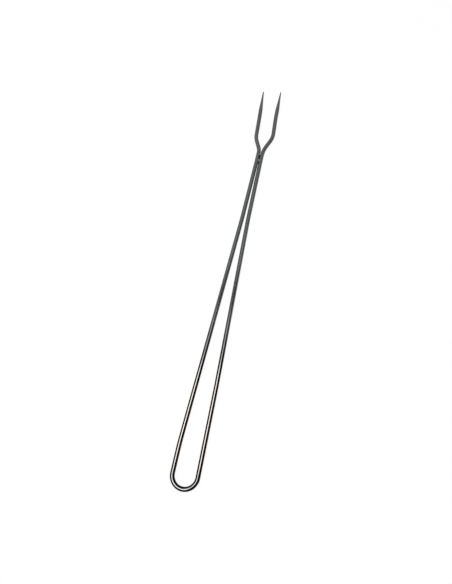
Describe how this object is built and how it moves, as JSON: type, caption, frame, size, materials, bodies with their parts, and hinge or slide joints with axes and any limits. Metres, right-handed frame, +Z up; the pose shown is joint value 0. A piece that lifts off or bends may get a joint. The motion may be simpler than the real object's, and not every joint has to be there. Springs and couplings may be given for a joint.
{
  "type": "carving fork",
  "caption": "Long flat carving fork bent from one round steel rod, with a loop handle, a spot-welded neck and spread tines with ground points.",
  "frame": {"origin": "under the middle of the fork's box, on the surface that the fork lies on", "axes": "+Y along the handle towards the tines, +Z up from the surface, +X to the right with the tines ahead"},
  "size_m": [0.0278, 0.454, 0.0044],
  "materials": {
    "rod_steel": "bare steel rod, matt dark grey at the tines and neck, worn to a dark gloss along the loop handle",
    "weld_steel": "bare weld metal, a little lighter and rougher than the rod"
  },
  "bodies": {
    "root": {"bent_rod": "rod_steel", "upper_weld": "weld_steel", "lower_weld": "weld_steel"}
  },
  "joints": []
}
